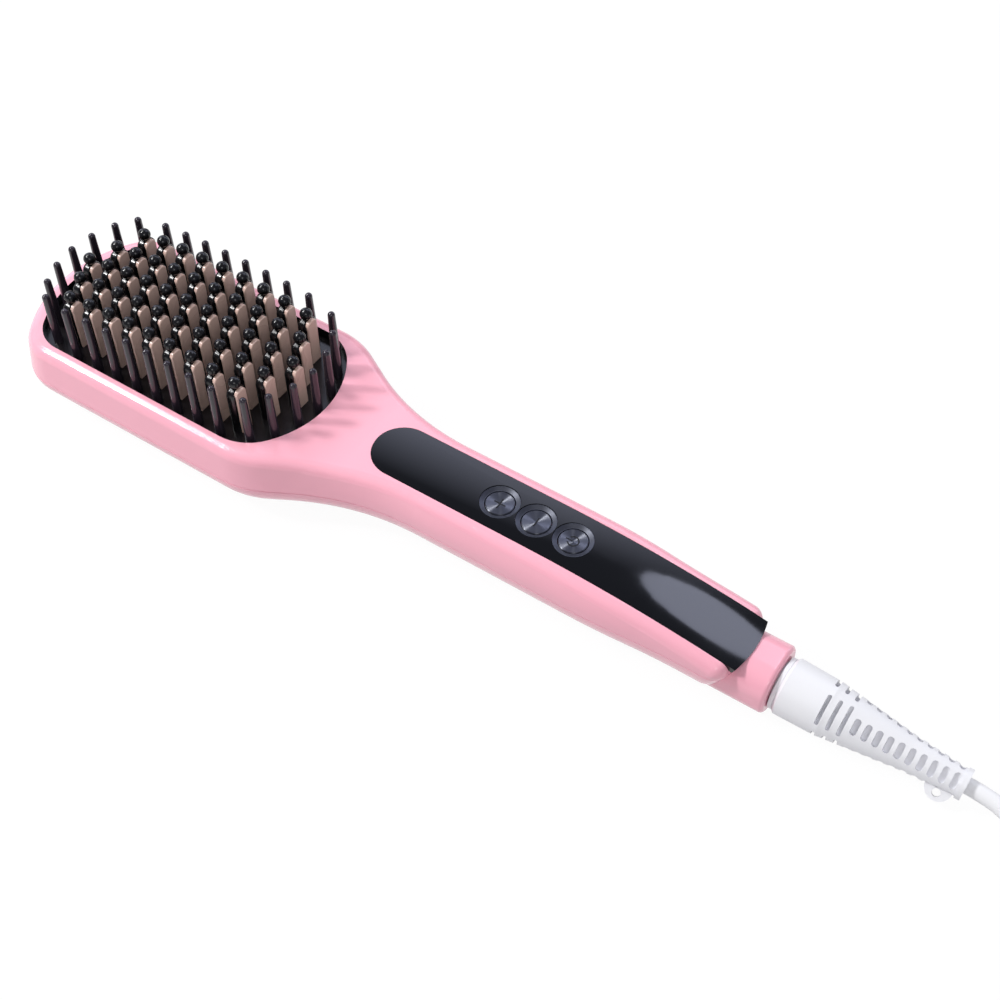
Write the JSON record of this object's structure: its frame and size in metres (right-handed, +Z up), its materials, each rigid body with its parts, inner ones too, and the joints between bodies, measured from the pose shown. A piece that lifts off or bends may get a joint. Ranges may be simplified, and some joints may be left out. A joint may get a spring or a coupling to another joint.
{
  "type": "heated styling brush",
  "caption": "Mains-powered heated styling brush: paddle head of guarded heating blades and edge pins, slim handle with control panel and buttons, swivel cord.",
  "frame": {"origin": "on the surface the brush lies on, under the centre of the head", "axes": "+X from the head along the handle to the cord, +Y to the far side, +Z up out of the bristles"},
  "size_m": [0.488, 0.0936, 0.0481],
  "materials": {
    "pink_plastic": "gloss",
    "bed_plastic": "satin",
    "black_nylon": "gloss",
    "coated_blade": "satin ceramic coat",
    "bare_aluminium": "mill",
    "heater_ceramic": "matt",
    "mica": "satin",
    "steel": "plated",
    "panel_gloss": "mirror gloss",
    "ring_grey": "satin",
    "button_dark": "spun metal look",
    "board_green": "solder mask",
    "component_black": "matt",
    "silicone": "matt",
    "contact_brass": "bright",
    "white_rubber": "satin",
    "white_plastic": "satin",
    "lead_sleeve": "matt",
    "tie_rubber": "matt"
  },
  "bodies": {
    "brush": {"top_shell": "pink_plastic", "back_shell": "pink_plastic", "end_collar": "pink_plastic", "bristle_bed": "bed_plastic", "tooth_guards": "black_nylon", "edge_pins": "black_nylon", "heating_blades": "coated_blade", "heater_plate": "bare_aluminium", "heat_shield": "bare_aluminium", "heater_strips": "heater_ceramic", "thermistor": "heater_ceramic", "mica_sheet": "mica", "clamp_plate": "steel", "bed_screws": "steel", "clamp_screws": "steel", "thermal_fuse": "steel", "board_screws": "steel", "shell_screws": "steel", "control_panel": "panel_gloss", "button_rings": "ring_grey", "control_board": "board_green", "display_module": "component_black", "power_capacitor": "component_black", "heater_triac": "component_black", "button_pad": "silicone", "contact_fingers": "contact_brass", "heater_leads": "lead_sleeve", "cord_run": "white_rubber", "cord_coil": "white_rubber", "cord_tie": "tie_rubber", "plug_body": "white_plastic", "plug_pins": "contact_brass"},
    "plus_button": {"button_plus": "button_dark"},
    "minus_button": {"button_minus": "button_dark"},
    "power_button": {"button_power": "button_dark"},
    "swivel": {"strain_relief": "white_rubber", "swivel_core": "white_plastic", "slip_rings": "contact_brass"}
  },
  "joints": [
    {"name": "button_plus_press", "type": "slide", "parent": "brush", "child": "plus_button", "axis": [0, 0, -1], "range_m": [0, 0.0005], "stiffness_N_per_m": 3000, "deforming": ["button_pad"]},
    {"name": "button_minus_press", "type": "slide", "parent": "brush", "child": "minus_button", "axis": [0, 0, -1], "range_m": [0, 0.0005], "stiffness_N_per_m": 3000, "deforming": ["button_pad"]},
    {"name": "button_power_press", "type": "slide", "parent": "brush", "child": "power_button", "axis": [0, 0, -1], "range_m": [0, 0.0005], "stiffness_N_per_m": 3000, "deforming": ["button_pad"]},
    {"name": "strain_relief_swivel", "type": "hinge", "parent": "brush", "child": "swivel", "pos_m": [0.206, 0, 0.0097], "axis": [0.9991, 0, -0.0419], "continuous": true}
  ]
}
